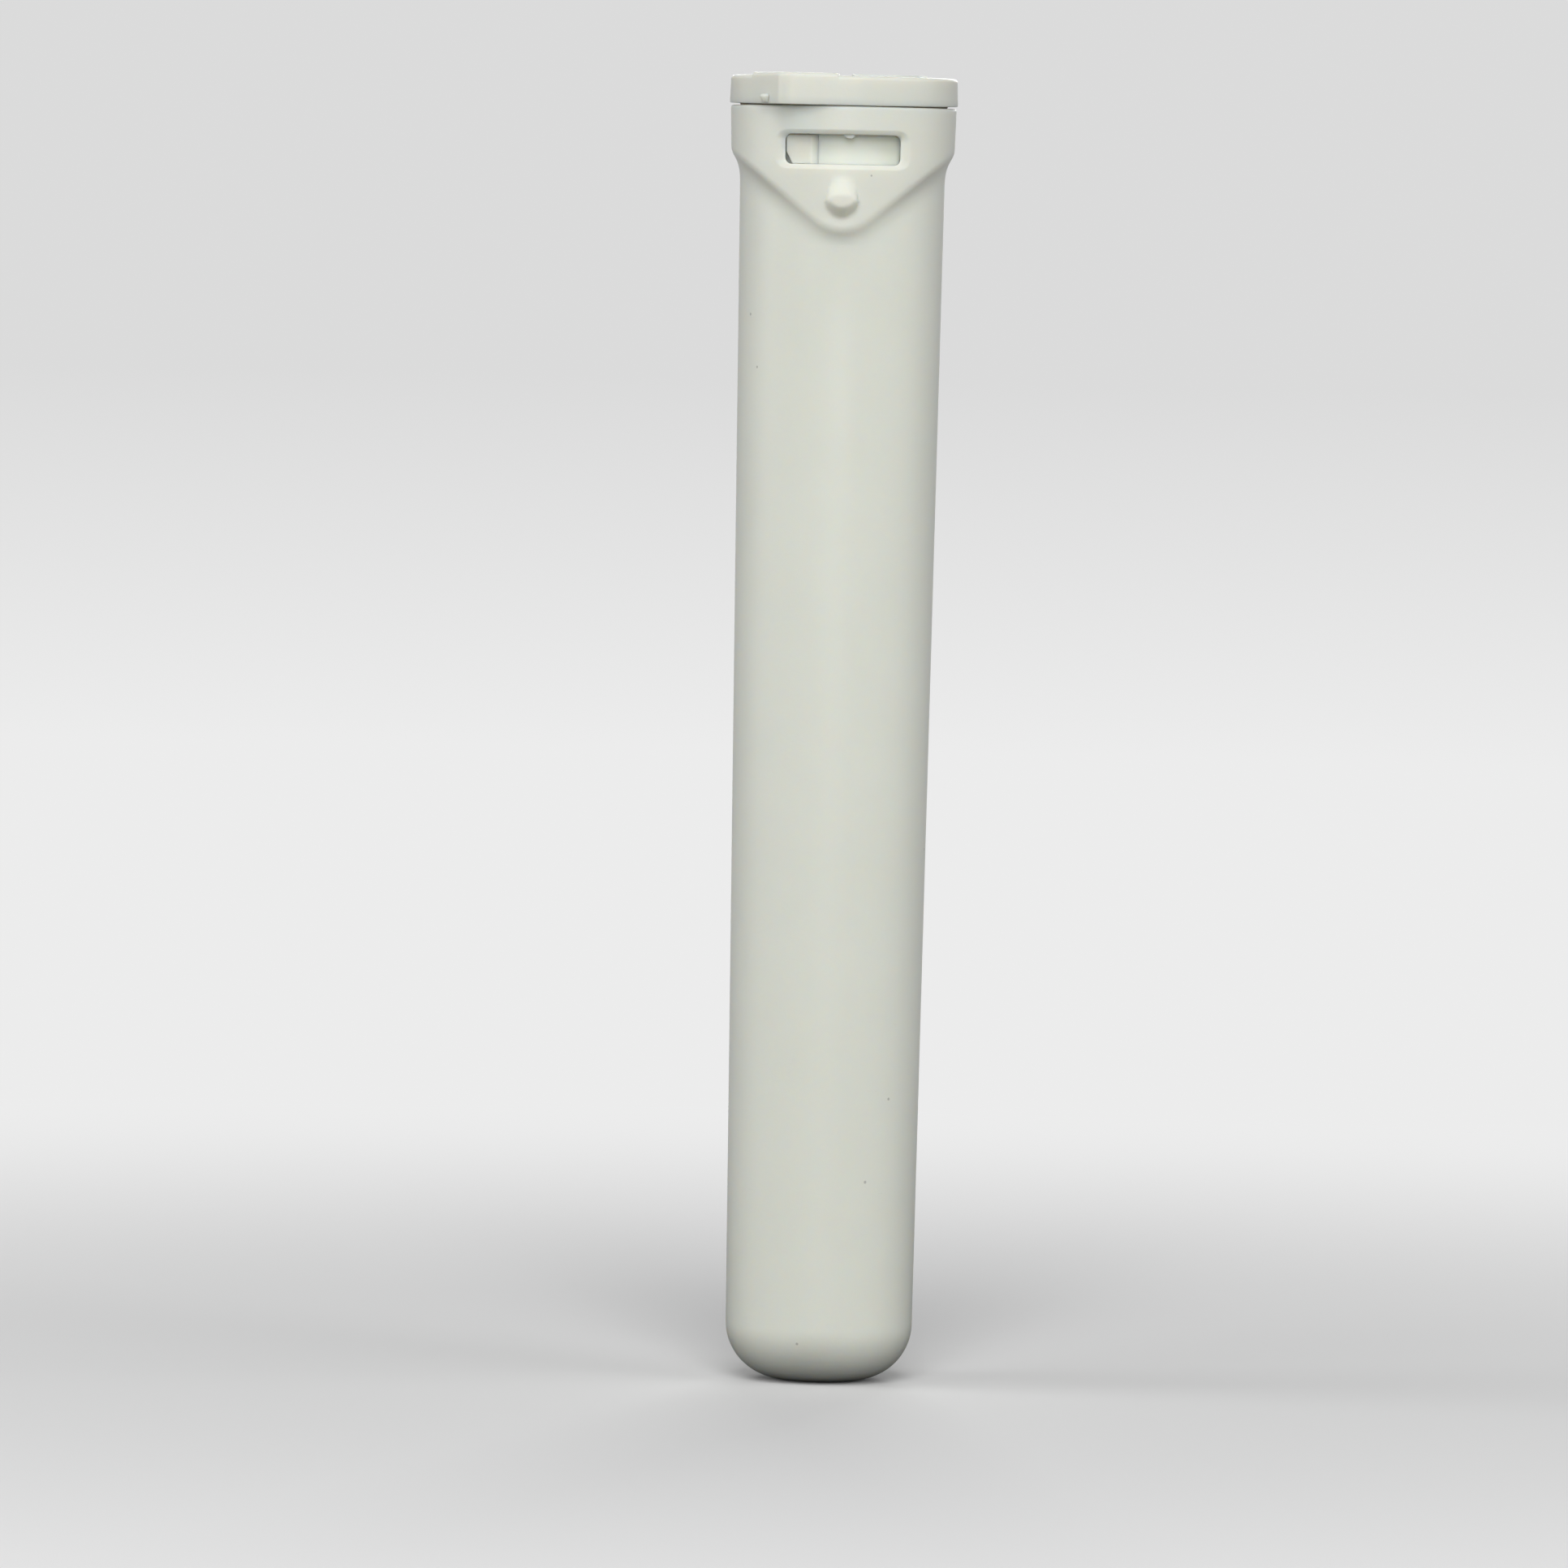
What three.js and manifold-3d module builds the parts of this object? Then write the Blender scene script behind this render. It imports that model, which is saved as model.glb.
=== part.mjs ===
// Packaging tube: a slim, rigid, moulded tube with a round end, closed by a turning bayonet cap.
// Millimetres, +Z up. The origin is on the axis, on the flat that the tube stands on.
// The front, with the window in the collar, faces -Y. Angles are from the front, positive towards +X.

import * as THREE from 'three';
import { mergeVertices } from 'three/addons/utils/BufferGeometryUtils.js';
import Module from 'manifold-3d';

// Tube
const overallHeight = 116.0;
const tubeRadiusLow = 8.25;
const tubeRadiusHigh = 9.14;
const wall = 0.85;
const knuckleRadius = 5.6;
const crownRadius = 11.0;
const standRadius = 2.2;

// Collar, and the pointed boss below its front
const collarProud = 0.76;
const collarDraft = 0.1;
const collarHeight = 3.8;
const collarUndercut = 1.55;
const collarRound = 0.22;
const bossSlope = 38.5;
const bossDrop = 7.1;
const bossTipRadius = 2.9;

// Teardrop bump on the boss
const dropRadius = 1.45;
const dropReach = 0.85;
const dropBelowCollar = 8.35;
const dropRun = 2.2;
const dropNeck = 0.85;

// Window in the collar, and the bead on its upper edge
const windowWidth = 10.1;
const windowHeight = 2.65;
const windowBelowCollar = 2.5;
const windowCorner = 0.4;
const beadWidth = 1.1;
const beadHeight = 0.35;
const beadDepth = 0.4;
const beadOffset = 0.58;

// Cap
const lidOverhang = 0.1;
const lidHeight = 2.45;
const lidDraft = 0.06;
const lidRound = 0.45;
const lidPlate = 1.2;
const lidGap = 0.2;
const plugClearance = 0.12;
const plugWall = 0.9;
const plugBelowWindow = 0.5;
const plugLead = 0.3;

// Beak on the lid, which shows where the cap stands
const beakAngle = -29;
const beakReach = 1.35;
const beakTipRadius = 0.8;
const beakRise = 0.22;
const beakPadInner = 7.4;
const beakPadFrom = -54;
const beakPadTo = -3.3;
const catchAngle = -42;
const catchWidth = 0.9;
const catchHeight = 0.65;
const catchReach = 0.5;
const catchLift = 0.05;

// Bayonet lug on the plug, and the groove in the collar that lets it in from above
const lugBehindFace = 0.55;
const lugEndGap = 0.1;
const lugArc = 15.3;
const lugHeight = 2.15;
const lugTopGap = 0.1;
const lugChamfer = 0.45;
const grooveClearance = 0.15;

// Seal ring under the lid
const sealThickness = 0.9;
const sealInset = 0.8;
const sealClearance = 0.1;

const roundSegments = 72;
const arcSteps = 4;
const overlap = 0.4;

// Heights and radii that follow from the sizes above
const collarRadiusLow = tubeRadiusHigh + collarProud;
const collarRadiusTop = collarRadiusLow + collarDraft;
const lidRadius = collarRadiusTop + lidOverhang;
const lugReach = collarRadiusLow - lugBehindFace;
const sealOuter = collarRadiusTop - sealInset;
const lidTop = overallHeight - beakRise;
const lidBottom = lidTop - lidHeight;
const collarTop = lidBottom - lidGap;
const collarBottom = collarTop - collarHeight;
const undercutBottom = collarBottom - collarUndercut;
const windowTop = collarTop - windowBelowCollar;
const windowBottom = windowTop - windowHeight;
const plugBottom = windowBottom - plugBelowWindow;
const boreTop = tubeRadiusAt(collarTop) - wall;
const boreAtPlug = tubeRadiusAt(plugBottom) - wall;
const plugRadius = boreAtPlug - plugClearance;
const plugBore = plugRadius - plugWall;
const lugTop = windowTop - lugTopGap;
const lugLeftAngle = -degrees(Math.asin((windowWidth / 2 - lugEndGap) / lugReach));

const wasm = await Module();
wasm.setup();

function radians(angle) {
  return angle * Math.PI / 180;
}

function degrees(angle) {
  return angle * 180 / Math.PI;
}

// Outer radius of the drafted tube at a height.
function tubeRadiusAt(z) {
  return tubeRadiusLow + (tubeRadiusHigh - tubeRadiusLow) * z / overallHeight;
}

// Point on a circle, with the angle from the front.
function aroundAxis(radius, angle) {
  return new THREE.Vector2(radius * Math.sin(radians(angle)), -radius * Math.cos(radians(angle)));
}

// Points of an arc, by its centre, radius, and its start and end angles from +X.
function arc(x, y, radius, from, to, steps = arcSteps) {
  return Array.from({ length: steps + 1 }, (_, i) => {
    const angle = radians(from + (to - from) * i / steps);
    return new THREE.Vector2(x + radius * Math.cos(angle), y + radius * Math.sin(angle));
  });
}

// Closed three.js geometry as a solid that can be joined and cut.
function solid(geometry) {
  const bare = geometry.index ? geometry : geometry.clone();
  bare.deleteAttribute('normal');
  bare.deleteAttribute('uv');
  const merged = mergeVertices(bare, 1e-4);
  const vertProperties = new Float32Array(merged.attributes.position.array);
  const corners = Array.from(merged.index.array);
  const triangles = [];
  for (let i = 0; i < corners.length; i += 3) {
    const [a, b, c] = corners.slice(i, i + 3);
    if (a !== b && b !== c && c !== a) triangles.push(a, b, c);
  }
  const triVerts = new Uint32Array(triangles);
  return new wasm.Manifold(new wasm.Mesh({ numProp: 3, vertProperties, triVerts }));
}

// Solid back to a named mesh.
function part(name, shape, color, roughness) {
  const mesh = shape.getMesh();
  const geometry = new THREE.BufferGeometry();
  geometry.setAttribute('position', new THREE.BufferAttribute(mesh.vertProperties, 3));
  geometry.setIndex(new THREE.BufferAttribute(mesh.triVerts, 1));
  geometry.computeVertexNormals();
  const material = new THREE.MeshStandardMaterial({ color, roughness, metalness: 0 });
  const result = new THREE.Mesh(geometry, material);
  result.name = name;
  return result;
}

// Profile of radius and height, turned about the Z axis.
function revolve(points) {
  return solid(new THREE.LatheGeometry(points, roundSegments).rotateX(Math.PI / 2));
}

// Outline in X and Y, from one height to another.
function prism(points, low, high) {
  const shape = new THREE.Shape(points);
  const geometry = new THREE.ExtrudeGeometry(shape, { depth: high - low, bevelEnabled: false });
  return solid(geometry.translate(0, 0, low));
}

// Outline in X and Z as seen from the front, from a depth behind the axis plane to the front.
function frontPrism(points, back, front) {
  const shape = new THREE.Shape(points);
  const geometry = new THREE.ExtrudeGeometry(shape, { depth: front - back, bevelEnabled: false });
  return solid(geometry.rotateX(Math.PI / 2).translate(0, -back, 0));
}

// Outline in distance to the front and height, centred on x with a width.
function sidePrism(points, x, width) {
  const shape = new THREE.Shape(points);
  const geometry = new THREE.ExtrudeGeometry(shape, { depth: width, bevelEnabled: false });
  geometry.rotateX(Math.PI / 2).rotateZ(-Math.PI / 2);
  return solid(geometry.translate(x + width / 2, 0, 0));
}

// Wedge of the space around the axis, between two radii, two angles and two heights.
function sector(inner, outer, from, to, low, high) {
  const steps = Math.max(2, Math.ceil(Math.abs(to - from) / 3));
  const outside = arc(0, 0, outer, from - 90, to - 90, steps);
  const inside = arc(0, 0, inner, to - 90, from - 90, steps);
  return prism([...outside, ...inside], low, high);
}

// Rounded rectangle by its centre and size.
function roundedRectangle(x, y, width, height, radius) {
  const right = x + width / 2 - radius;
  const left = x - width / 2 + radius;
  const top = y + height / 2 - radius;
  const bottom = y - height / 2 + radius;
  return [
    ...arc(right, bottom, radius, -90, 0),
    ...arc(right, top, radius, 0, 90),
    ...arc(left, top, radius, 90, 180),
    ...arc(left, bottom, radius, 180, 270),
  ];
}

// Round end: a flat to stand on, a shallow crown, and a knuckle up to the drafted wall.
// An inset draws the same end inside the wall, with both arcs smaller by the inset.
function endProfile(inset, knuckleSteps) {
  const knuckle = knuckleRadius - inset;
  const crown = crownRadius - inset;
  const knuckleX = tubeRadiusAt(knuckleRadius) - knuckleRadius;
  const sweep = degrees(Math.asin((knuckleX - standRadius) / (crownRadius - knuckleRadius)));
  const knuckleZ = crownRadius - (crownRadius - knuckleRadius) * Math.cos(radians(sweep));
  return [
    new THREE.Vector2(0, inset),
    ...arc(standRadius, crownRadius, crown, -90, -90 + sweep, 2),
    ...arc(knuckleX, knuckleZ, knuckle, -90 + sweep, 0, knuckleSteps).slice(1),
  ];
}

// Tube with its collar and bore, as one turned form.
function turnedBody() {
  const outside = [
    ...endProfile(0, 3 * arcSteps),
    new THREE.Vector2(tubeRadiusAt(undercutBottom), undercutBottom),
    new THREE.Vector2(tubeRadiusAt(undercutBottom) + 0.14, undercutBottom + 0.45 * collarUndercut),
    new THREE.Vector2(collarRadiusLow - 0.3, collarBottom - 0.2 * collarUndercut),
    new THREE.Vector2(collarRadiusLow - 0.05, collarBottom - 0.04 * collarUndercut),
    new THREE.Vector2(collarRadiusLow, collarBottom + collarRound),
    ...arc(collarRadiusTop - collarRound, collarTop - collarRound, collarRound, 0, 90, 3),
  ];
  const inside = [
    new THREE.Vector2(boreTop + collarRound, collarTop),
    new THREE.Vector2(boreTop, collarTop - collarRound),
    ...endProfile(wall, arcSteps).reverse(),
  ];
  return revolve([...outside, ...inside]);
}

// Pointed boss: the part of a ring as proud as the collar that lies above two slopes with a round tip.
function pointedBoss() {
  const slope = Math.tan(radians(bossSlope));
  const tipCentre = collarBottom - bossDrop + bossTipRadius;
  const tip = arc(0, tipCentre, bossTipRadius, -90 - bossSlope, -90 + bossSlope, 2 * arcSteps);
  const shoulderX = collarRadiusLow + overlap;
  const shoulderZ = tip[tip.length - 1].y + (shoulderX - tip[tip.length - 1].x) * slope;
  const top = Math.max(shoulderZ, collarBottom) + overlap;
  const outline = [
    ...tip,
    new THREE.Vector2(shoulderX, shoulderZ),
    new THREE.Vector2(shoulderX, top),
    new THREE.Vector2(-shoulderX, top),
    new THREE.Vector2(-shoulderX, shoulderZ),
  ];
  const bottom = collarBottom - bossDrop - overlap;
  const ring = revolve([
    new THREE.Vector2(boreTop + wall / 2, bottom),
    new THREE.Vector2(collarRadiusLow, bottom),
    new THREE.Vector2(collarRadiusLow, collarBottom + overlap),
    new THREE.Vector2(boreTop + wall / 2, collarBottom + overlap),
    new THREE.Vector2(boreTop + wall / 2, bottom),
  ]);
  return ring.intersect(frontPrism(outline, 0, collarRadiusLow + overlap));
}

// Bump with a round lower end that runs out into the boss above it.
function teardrop() {
  const centre = collarTop - dropBelowCollar;
  const top = centre + dropRun;
  const outline = [
    ...arc(0, centre, dropRadius, 180, 360, 3 * arcSteps),
    new THREE.Vector2(dropNeck, top),
    new THREE.Vector2(-dropNeck, top),
  ];
  const face = collarRadiusLow;
  const side = [
    new THREE.Vector2(face - wall, centre - dropRadius),
    new THREE.Vector2(face + 0.6 * dropReach, centre - dropRadius),
    new THREE.Vector2(face + dropReach, centre - 0.7 * dropRadius),
    new THREE.Vector2(face + dropReach, centre),
    new THREE.Vector2(face + 0.75 * dropReach, centre + 0.4 * dropRun),
    new THREE.Vector2(face, top),
    new THREE.Vector2(face - wall, top),
  ];
  const ramp = sidePrism(side, 0, 2 * dropRadius + overlap);
  return frontPrism(outline, face - wall, face + 2 * dropReach).intersect(ramp);
}

// Window through the front wall, cut straight back to the bore.
function windowCut() {
  const middle = windowTop - windowHeight / 2;
  const outline = roundedRectangle(0, middle, windowWidth, windowHeight, windowCorner);
  return frontPrism(outline, 0, collarRadiusTop + 2 * dropReach);
}

// Groove in the collar's bore that the lug comes down through when the cap is put on.
function lugGroove() {
  const spare = degrees(grooveClearance / boreTop) * 1.5;
  const reach = lugReach + grooveClearance;
  const from = lugLeftAngle - spare;
  const to = lugLeftAngle + lugArc + spare;
  return sector(boreTop - wall, reach, from, to, windowTop - windowHeight / 2, collarTop + overlap);
}

// Small bead on the window's upper edge, outside the lug's path.
function windowBead() {
  const front = collarRadiusLow - 0.05;
  const outline = [
    new THREE.Vector2(beadOffset - beadWidth / 2, windowTop + overlap),
    new THREE.Vector2(beadOffset - beadWidth / 2, windowTop - 0.4 * beadHeight),
    new THREE.Vector2(beadOffset - beadWidth / 4, windowTop - beadHeight),
    new THREE.Vector2(beadOffset + beadWidth / 4, windowTop - beadHeight),
    new THREE.Vector2(beadOffset + beadWidth / 2, windowTop - 0.4 * beadHeight),
    new THREE.Vector2(beadOffset + beadWidth / 2, windowTop + overlap),
  ];
  return frontPrism(outline, front - beadDepth, front);
}

function tubeBody() {
  return turnedBody()
    .add(pointedBoss())
    .add(teardrop())
    .subtract(windowCut())
    .subtract(lugGroove())
    .add(windowBead());
}

// Plan of the lid's beak: two flats tangent to the lid, which meet in a small round tip.
function beakOutline() {
  const tipDistance = lidRadius + beakReach - beakTipRadius;
  const spread = degrees(Math.acos((lidRadius - beakTipRadius) / tipDistance));
  const tip = aroundAxis(tipDistance, beakAngle);
  const middle = beakAngle - 90;
  const rim = arc(0, 0, lidRadius, middle + spread, middle + 360 - spread, roundSegments);
  return [...arc(tip.x, tip.y, beakTipRadius, middle - spread, middle + spread), ...rim];
}

// Beak below the lid's top edge, and the part of it that stands a little above the lid.
function beak() {
  const outline = beakOutline();
  const low = prism(outline, lidBottom, lidTop - lidRound / 2);
  const high = prism(outline, lidTop - lidRound, lidTop + beakRise);
  const outer = lidRadius + beakReach + overlap;
  const pad = sector(beakPadInner, outer, beakPadFrom, beakPadTo, lidTop - lidRound, lidTop + beakRise);
  const inner = sealOuter + 2 * sealClearance;
  const shell = sector(inner, outer, beakAngle - 40, beakAngle + 40, lidBottom, lidTop);
  return low.intersect(shell).add(high.intersect(pad));
}

// Little wedge low on the beak's left flat, with a flat top.
function catchWedge() {
  const from = lidRadius - 0.6;
  const low = lidBottom + catchLift;
  const outline = [
    new THREE.Vector2(from, low),
    new THREE.Vector2(lidRadius + 0.3 * catchReach, low),
    new THREE.Vector2(lidRadius + 0.65 + catchReach, low + catchHeight),
    new THREE.Vector2(from, low + catchHeight),
  ];
  const wedge = sidePrism(outline, 0, catchWidth);
  return wedge.rotate([0, 0, catchAngle]);
}

// Turned lid with its hollow plug, the seal's recess, and the lug on the plug.
function cap() {
  const recessTop = collarTop + sealThickness + sealClearance / 2;
  const turned = revolve([
    new THREE.Vector2(0, lidTop - lidPlate),
    new THREE.Vector2(plugBore, lidTop - lidPlate),
    new THREE.Vector2(plugBore, plugBottom),
    new THREE.Vector2(plugRadius - plugLead, plugBottom),
    new THREE.Vector2(plugRadius, plugBottom + 2 * plugLead),
    new THREE.Vector2(plugRadius, recessTop),
    new THREE.Vector2(sealOuter + sealClearance, recessTop),
    new THREE.Vector2(sealOuter + sealClearance, lidBottom),
    new THREE.Vector2(lidRadius - 0.1, lidBottom),
    new THREE.Vector2(lidRadius, lidBottom + 0.1),
    ...arc(lidRadius - lidDraft - lidRound, lidTop - lidRound, lidRound, 0, 90, 4),
    new THREE.Vector2(0, lidTop),
  ]);
  const lugBottom = lugTop - lugHeight;
  const lugEnd = lugLeftAngle + lugArc;
  const lug = sector(plugRadius - plugWall / 2, lugReach, lugLeftAngle, lugEnd, lugBottom, lugTop);
  const cutX = lugReach * Math.sin(radians(lugLeftAngle));
  const corner = [
    new THREE.Vector2(cutX - overlap, lugBottom - overlap),
    new THREE.Vector2(cutX + lugChamfer, lugBottom - overlap),
    new THREE.Vector2(cutX + lugChamfer, lugBottom),
    new THREE.Vector2(cutX, lugBottom + 2 * lugChamfer),
    new THREE.Vector2(cutX - overlap, lugBottom + 2 * lugChamfer),
  ];
  const chamfer = frontPrism(corner, plugRadius * Math.cos(radians(lugLeftAngle)), lugReach);
  return turned.add(beak()).add(catchWedge()).add(lug.subtract(chamfer));
}

// Soft ring that the lid presses on the collar.
function sealRing() {
  const inner = plugRadius + sealClearance;
  return revolve([
    new THREE.Vector2(inner, collarTop),
    new THREE.Vector2(sealOuter, collarTop),
    new THREE.Vector2(sealOuter, collarTop + sealThickness),
    new THREE.Vector2(inner, collarTop + sealThickness),
    new THREE.Vector2(inner, collarTop),
  ]);
}

const tube = new THREE.Group();
tube.add(part('tube_body', tubeBody(), 0xd9dad2, 0.42));
tube.add(part('cap', cap(), 0xdadbd3, 0.4));
tube.add(part('seal_ring', sealRing(), 0x9a8f80, 0.7));

export default tube;
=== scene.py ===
"""Dresses a slim moulded packaging tube with a turning cap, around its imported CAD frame.

Lengths inside the shape functions are in millimetres, and a mesh is made in metres. Angles are in
degrees from the front, which faces -Y, and they are positive towards +X.
"""
import logging
import math
from dataclasses import dataclass, field
from enum import Enum

import bmesh
import bpy
import numpy as np
from mathutils import Matrix, Vector


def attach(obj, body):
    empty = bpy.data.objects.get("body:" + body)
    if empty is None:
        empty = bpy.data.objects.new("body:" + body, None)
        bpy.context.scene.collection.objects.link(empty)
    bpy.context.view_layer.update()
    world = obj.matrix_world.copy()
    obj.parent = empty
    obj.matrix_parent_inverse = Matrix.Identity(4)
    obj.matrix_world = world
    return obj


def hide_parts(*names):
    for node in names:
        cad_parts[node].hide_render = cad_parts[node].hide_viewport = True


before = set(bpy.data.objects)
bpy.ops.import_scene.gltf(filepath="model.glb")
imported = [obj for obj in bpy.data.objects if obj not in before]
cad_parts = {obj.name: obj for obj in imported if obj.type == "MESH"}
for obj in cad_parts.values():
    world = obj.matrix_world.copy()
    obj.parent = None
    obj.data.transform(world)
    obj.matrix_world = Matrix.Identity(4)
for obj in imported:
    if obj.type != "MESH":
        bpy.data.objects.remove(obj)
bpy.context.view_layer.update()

log = logging.getLogger("packaging_tube")

MM = 0.001
PHOTO_PIXELS = 1932

# Dark specks on the tube: distance from the axis, angle, height and radius of each.
SPECKS = (
    (8.979, -61.09, 94.67, 0.13), (8.936, -53.46, 90.03, 0.12),
    (9.897, 14.99, 107.07, 0.10), (8.441, 43.03, 25.58, 0.13),
    (8.390, 27.24, 18.27, 0.13), (8.152, -13.41, 3.84, 0.12),
    (8.619, 80.45, 47.49, 0.12),
)

Points = np.ndarray


def smooth(x: Points) -> Points:
    """Eases from 0 to 1 with level ends: three x squared minus two x cubed, held at 0 and 1."""
    t = np.clip(x, 0.0, 1.0)
    return t * t * (3.0 - 2.0 * t)


def around(radius: Points, angle: Points, z: Points) -> Points:
    """Points at a radius, an angle in degrees from the front, positive towards +X, and a height."""
    turn = np.radians(angle)
    radius, turn, z = np.broadcast_arrays(radius, turn, z)
    return np.stack([radius * np.sin(turn), -radius * np.cos(turn), z], axis=-1)


def grid_faces(rows: int, columns: int, closed: bool) -> Points:
    """Four-sided faces of a grid of points stored row by row.

    Args:
        rows: number of rows.
        columns: number of points in a row.
        closed: whether each row's last point joins its first.

    Returns:
        An array of four point numbers for each face.
    """
    across = columns if closed else columns - 1
    row, column = np.meshgrid(np.arange(rows - 1), np.arange(across), indexing="ij")
    after = (column + 1) % columns
    corners = [row * columns + column, row * columns + after]
    corners += [(row + 1) * columns + after, (row + 1) * columns + column]
    return np.stack([c.ravel() for c in corners], axis=1)


@dataclass
class Skin:
    """Gathers grids of points into one closed mesh."""

    points: list[Points] = field(default_factory=list)
    faces: list[Points] = field(default_factory=list)
    count: int = 0

    def add(self, grid: Points, closed: bool = True, keep: Points | None = None) -> None:
        """Adds a grid of points, rows by columns by three.

        Args:
            grid: the points, in millimetres.
            closed: whether each row closes on itself.
            keep: for each face, whether it stays.
        """
        rows, columns = grid.shape[:2]
        faces = grid_faces(rows, columns, closed)
        if keep is not None:
            faces = faces[keep.ravel()]
        self.points.append(grid.reshape(-1, 3))
        self.faces.append(faces + self.count)
        self.count += rows * columns

    def build(self, name: str, sharp: float = 40.0) -> bpy.types.Object:
        """Makes the object: points that meet are joined, and faces are turned outwards.

        Args:
            name: the object's name.
            sharp: edges that turn by more than this many degrees stay sharp.

        Returns:
            The new object, linked to the scene.
        """
        points = np.concatenate(self.points) * MM
        faces = np.concatenate(self.faces)
        mesh = bpy.data.meshes.new(name)
        mesh.vertices.add(len(points))
        mesh.vertices.foreach_set("co", points.astype(np.float32).ravel())
        mesh.loops.add(faces.size)
        mesh.loops.foreach_set("vertex_index", faces.astype(np.int32).ravel())
        mesh.polygons.add(len(faces))
        mesh.polygons.foreach_set("loop_start", np.arange(0, faces.size, 4, dtype=np.int32))
        mesh.update(calc_edges=True)
        return finish_mesh(name, mesh, sharp)


def finish_mesh(name: str, mesh: bpy.types.Mesh, sharp: float) -> bpy.types.Object:
    """Joins the points that meet, turns the faces outwards and shades the mesh smooth.

    Args:
        name: the object's name.
        mesh: the mesh to finish.
        sharp: edges that turn by more than this many degrees stay sharp.

    Returns:
        The new object, linked to the scene.
    """
    work = bmesh.new()
    work.from_mesh(mesh)
    bmesh.ops.remove_doubles(work, verts=work.verts, dist=0.0005 * MM)
    bmesh.ops.dissolve_degenerate(work, edges=work.edges, dist=0.0002 * MM)
    bmesh.ops.recalc_face_normals(work, faces=work.faces)
    work.to_mesh(mesh)
    work.free()
    mesh.shade_smooth()
    mesh.set_sharp_from_angle(angle=math.radians(sharp))
    piece = bpy.data.objects.new(name, mesh)
    bpy.context.scene.collection.objects.link(piece)
    return piece


@dataclass
class TubeSizes:
    """Sizes of the tube and its collar that other pieces use too."""

    height: float = 116.0
    radius_low: float = 8.25
    radius_high: float = 9.14
    wall: float = 0.85
    beak_rise: float = 0.22
    lid_height: float = 2.45
    lid_gap: float = 0.2
    window_width: float = 10.1
    window_height: float = 2.65
    window_below: float = 2.5

    @property
    def lid_top(self) -> float:
        """Height of the lid's upper face."""
        return self.height - self.beak_rise

    @property
    def lid_bottom(self) -> float:
        """Height of the lid's lower edge."""
        return self.lid_top - self.lid_height

    @property
    def collar_top(self) -> float:
        """Height of the collar's upper face."""
        return self.lid_bottom - self.lid_gap

    @property
    def window_top(self) -> float:
        """Height of the window's upper edge."""
        return self.collar_top - self.window_below

    @property
    def window_middle(self) -> float:
        """Height of the window's middle."""
        return self.window_top - self.window_height / 2

    def radius(self, z: Points) -> Points:
        """Radius of the drafted tube: it grows evenly with the height."""
        return self.radius_low + (self.radius_high - self.radius_low) * z / self.height


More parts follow.
